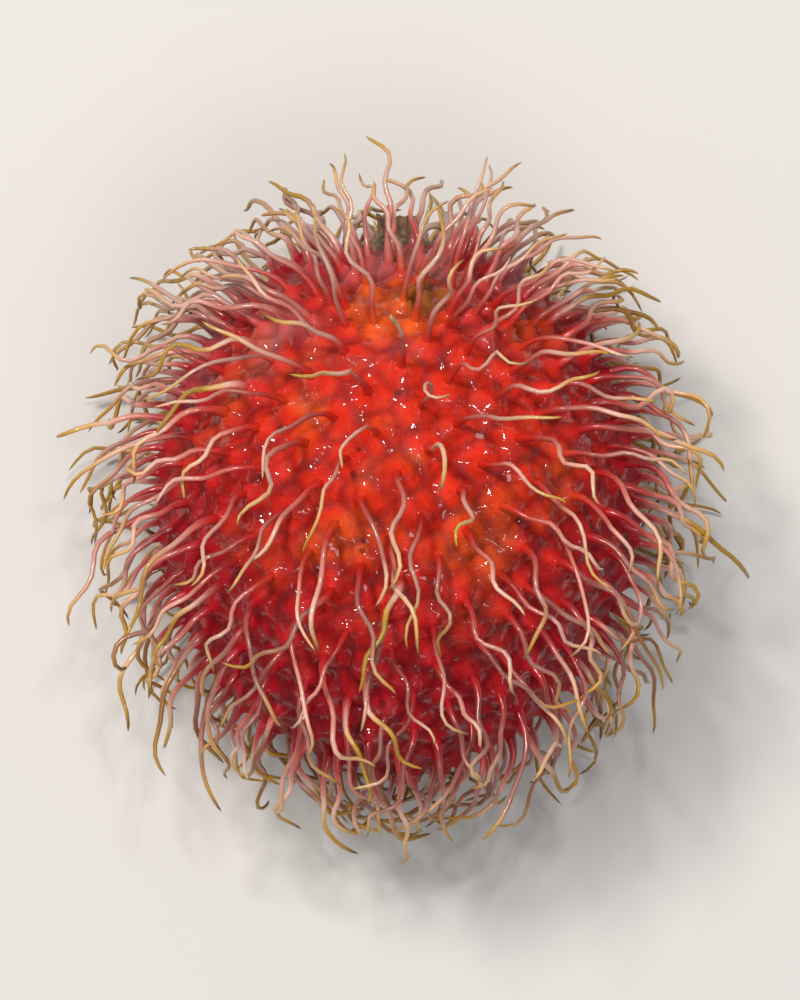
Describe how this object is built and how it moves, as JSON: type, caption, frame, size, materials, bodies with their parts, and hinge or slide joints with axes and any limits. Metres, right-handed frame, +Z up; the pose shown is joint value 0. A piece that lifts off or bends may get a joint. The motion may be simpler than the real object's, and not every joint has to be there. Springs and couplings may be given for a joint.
{
  "type": "rambutan fruit",
  "caption": "Whole tropical fruit lying on its side: an egg-shaped leathery peel thickly set with soft curved spines, with a short broken stalk stub at one end.",
  "frame": {"origin": "middle of the small flat spot that the fruit rests on, on the table", "axes": "+Z up from the table, +Y along the fruit towards its stalk end, +X across it"},
  "size_m": [0.0574, 0.0591, 0.0466],
  "materials": {
    "peel": "satin",
    "spines": "satin",
    "stalk": "matte"
  },
  "bodies": {
    "root": {"rambutan": "peel"}
  },
  "joints": []
}
